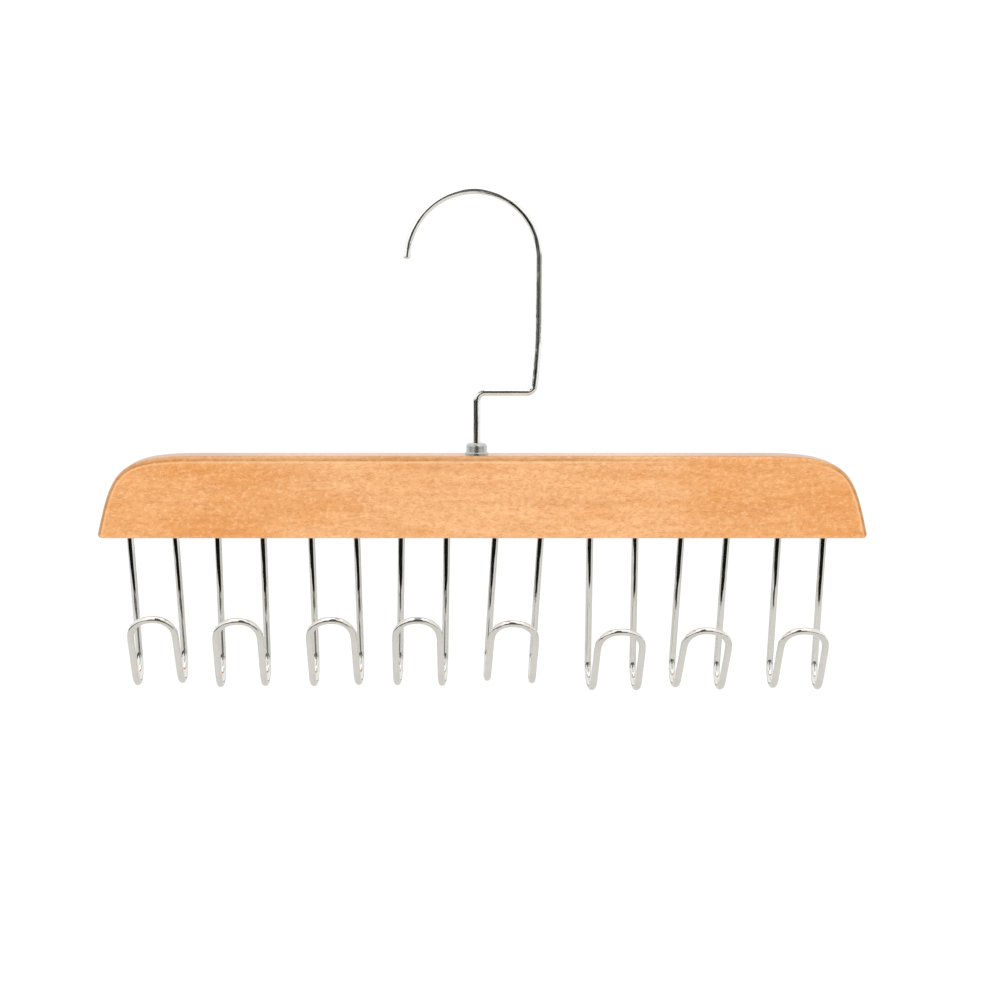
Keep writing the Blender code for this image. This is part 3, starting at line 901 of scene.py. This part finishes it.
class HANGER_OT_ferrule(bpy.types.Operator):
    """Turn the ferrule: rounded barrel, thin flange, and the skirt inside the bar"""
    bl_idname = "hanger.ferrule"
    bl_label = "Ferrule"

    def execute(self, context):
        settings = context.scene.belt_hanger
        sizes = settings.ferrule
        hole = settings.wire.diameter / 2 + sizes.hole_gap
        ease = FERRULE_EASE
        top = sizes.height
        seat = sizes.seat_gap
        flange_top = seat + sizes.flange_height
        profile = [(hole, top - ease), (hole + ease, top)]
        profile += quarter(sizes.radius - sizes.rounding, top - sizes.rounding, sizes.rounding, 90)
        profile += quarter(sizes.radius + ease, flange_top + ease, ease, 180, turn_deg=90)
        profile += quarter(sizes.flange_radius - ease, flange_top - ease, ease, 90)
        profile += [(sizes.flange_radius, seat), (sizes.skirt_radius, seat),
                    (sizes.skirt_radius, -sizes.skirt_length), (hole, -sizes.skirt_length)]
        bm = bmesh.new()
        add_turned(bm, profile, TURNED_STEPS, bore_mouth(settings))
        metal = settings.metal
        plate = turned_plate("turned_plated_ferrule", metal, metal.ferrule, ring_mm=0.45, roughness=0.2)
        piece = object_from(bm, "turned_ferrule", plate)
        stands_for(piece, "ferrule", "hanger")
        return {"FINISHED"}


class HANGER_OT_washer(bpy.types.Operator):
    """Give the CAD washer inside the bar its zinc-plated finish"""
    bl_idname = "hanger.washer"
    bl_label = "Washer"

    def execute(self, context):
        metal = context.scene.belt_hanger.metal
        plate = turned_plate("zinc_plated_washer", metal, metal.zinc, ring_mm=0.3, roughness=0.34)
        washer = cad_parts["washer"]
        washer.data.materials.clear()
        washer.data.materials.append(plate)
        return {"FINISHED"}


# The camera, which stands 0.6 m in front of the hanger and looks slightly down, and the two soft lights
CAMERA_PLACE = (-0.0102, -0.5998, -0.0225)
CAMERA_DOWN_DEG = 8.4
LENS_MM = 59.2
LENS_SHIFT_X = 0.0544
CLIP_START = 10 * MM
LIGHTS_AIM = (0.0, 0.0, -0.1)
SOFTBOXES = (("overhead", (0.0, -0.25, 0.9), (1.3, 0.8)), ("front", (-0.5, -1.1, 0.5), (0.8, 0.8)))
FLOOR_REACH = 6.0
PAPER_FLECK_MM = 6
CARD_FLECK_MM = 30

# Outlines of the cards that lie on the floor, in metres seen from above, and how far each lies over the last
FLAG_LIFT = 1 * MM
FLOOR_FLAG = (
    (-1.5, 0.60), (-0.93, 0.25), (-0.87, -0.07), (-0.60, -0.46), (-0.44, -0.53), (-0.28, -0.57),
    (-0.12, -0.60), (0.06, -0.60), (0.25, -0.62), (0.40, -0.52), (0.50, -0.47), (0.62, -0.56),
    (2.6, -3.0), (-6.0, -3.0), (-6.0, 2.4),
)
FAR_FLOOR_FLAG = ((-6.0, -1.05), (1.0, -1.05), (2.6, -3.0), (-6.0, -3.0))
BACK_FLAG = ((-0.6, 0.65), (-0.3, 0.62), (0.3, 0.62), (0.6, 0.65), (2.4, 3.0), (-2.4, 3.0))
NEAR_FLAG = ((-1.2, -0.75), (1.2, -0.75), (1.2, 0.75), (-1.2, 0.75))

# A small level card before the crown, a slanted one by the left belt hooks, and upright ones: both ends seen
# from above, the lower edge or None for the floor, the upper edge, and the card
CROWN_FLAG = ((-0.035, -0.058), (0.0, -0.058), (0.0, -0.012), (-0.035, -0.012))
CROWN_FLAG_Z = -0.03
LEFT_FLAG = ((-0.16, -0.18, -0.222), (-0.015, -0.09, -0.200), (-0.015, -0.09, -0.176), (-0.16, -0.18, -0.194))
UPRIGHT_FLAGS = (
    ("far_flag_left", (-3.0, 0.0), (-3.0, -3.0), None, 0.1, "dark"),
    ("far_flag_front", (-3.0, -3.0), (1.0, -3.0), None, 0.1, "dark"),
    ("far_flag_right", (1.0, -3.0), (3.0, 0.0), None, 0.1, "grey"),
    ("lens_flag", (-0.30, -0.67), (0.28, -0.67), None, 0.08, "black"),
    ("camera_flag", (-0.14, -0.66), (0.12, -0.66), -0.1, 1.3, "dark"),
)


def add_flat(name, corners, surface):
    """A flat sheet through its corners."""
    bm = bmesh.new()
    bm.faces.new([bm.verts.new(corner) for corner in corners])
    return object_from(bm, name, surface)


def add_flag(name, corners, surface):
    """A dark card that only mirror reflections see, as a studio uses to draw dark lines into chrome."""
    flag = add_flat(name, corners, surface)
    for rays in ("camera", "diffuse", "transmission", "volume_scatter", "shadow"):
        setattr(flag, f"visible_{rays}", False)


def add_softbox(name, place, size, watts):
    light = bpy.data.lights.new(name, "AREA")
    light.shape = "RECTANGLE"
    light.size, light.size_y = size
    light.energy = watts
    made = linked(name, light)
    made.location = place
    made.rotation_euler = (Vector(LIGHTS_AIM) - Vector(place)).to_track_quat("-Z", "Y").to_euler()


class HANGER_OT_stage(bpy.types.Operator):
    """Set up the pale floor, the soft light and the camera"""
    bl_idname = "hanger.stage"
    bl_label = "Stage"

    def execute(self, context):
        settings = context.scene.belt_hanger.stage
        scene = context.scene
        scene.view_settings.view_transform = "Standard"

        world = bpy.data.worlds.new("white_surround")
        world.use_nodes = True
        tree = world.node_tree
        connect(tree, tree.nodes["Background"], {"Color": "#FFFFFF", "Strength": settings.sky})
        scene.world = world

        floor_z = -settings.floor_drop
        corners = [(x * FLOOR_REACH, y * FLOOR_REACH, floor_z)
                   for x, y in ((-1, -1), (1, -1), (1, 1), (-1, 1))]
        paper = studio_sheet("matt_studio_paper", settings.paper, PAPER_FLECK_MM)
        floor = add_flat("studio_floor", corners, paper)

        cards = {tone: studio_sheet(f"matt_{tone}_card", getattr(settings, f"{tone}_card"), CARD_FLECK_MM)
                 for tone in ("black", "dark", "grey", "pale")}
        lying = (("near_flag", NEAR_FLAG, "pale"), ("floor_flag", FLOOR_FLAG, "black"),
                 ("back_flag", BACK_FLAG, "grey"), ("far_floor_flag", FAR_FLOOR_FLAG, "dark"))
        for layer, (name, outline, card) in enumerate(lying, 1):
            add_flag(name, [(x, y, floor_z + layer * FLAG_LIFT) for x, y in outline], cards[card])
        add_flag("crown_flag", [(x, y, CROWN_FLAG_Z) for x, y in CROWN_FLAG], cards["black"])
        add_flag("left_flag", LEFT_FLAG, cards["dark"])
        for name, start, end, low, high, card in UPRIGHT_FLAGS:
            low = floor_z if low is None else low
            add_flag(name, ((*start, low), (*end, low), (*end, high), (*start, high)), cards[card])

        for name, place, size in SOFTBOXES:
            add_softbox(f"{name}_softbox", place, size, getattr(settings, name))

        lens = bpy.data.cameras.new("photo_camera")
        lens.lens = LENS_MM
        lens.shift_x = LENS_SHIFT_X
        lens.clip_start = CLIP_START
        camera = linked("photo_camera", lens)
        camera.location = CAMERA_PLACE
        camera.rotation_euler = (math.radians(90 - CAMERA_DOWN_DEG), 0, 0)
        scene.camera = camera
        return {"FINISHED"}


class HANGER_PT_panel(bpy.types.Panel):
    """Lists the steps that build the belt hanger"""
    bl_idname = "HANGER_PT_panel"
    bl_label = "Belt hanger"
    bl_space_type = "VIEW_3D"
    bl_region_type = "UI"
    bl_category = "Hanger"

    def draw(self, context):
        for step in STEPS:
            self.layout.operator(step.bl_idname)


STEPS = (HANGER_OT_wooden_bar, HANGER_OT_swivel_hook, HANGER_OT_belt_hooks, HANGER_OT_ferrule,
         HANGER_OT_washer, HANGER_OT_stage)
GROUPS = (WireSizes, SwivelHookSizes, BarSizes, FerruleSizes, BentHook, BeltHookSizes, WoodColours,
          MetalColours, StageSettings, BeltHanger)
CLASSES = GROUPS + STEPS + (HANGER_PT_panel,)


def register():
    for each in CLASSES:
        bpy.utils.register_class(each)
    bpy.types.Scene.belt_hanger = PointerProperty(type=BeltHanger)


def unregister():
    del bpy.types.Scene.belt_hanger
    for each in reversed(CLASSES):
        bpy.utils.unregister_class(each)


def main():
    register()
    fill_bent_hooks(bpy.context.scene.belt_hanger.hooks)
    bpy.ops.hanger.wooden_bar()
    bpy.ops.hanger.swivel_hook()
    bpy.ops.hanger.belt_hooks()
    bpy.ops.hanger.ferrule()
    bpy.ops.hanger.washer()
    bpy.ops.hanger.stage()


if __name__ == "__main__":
    main()
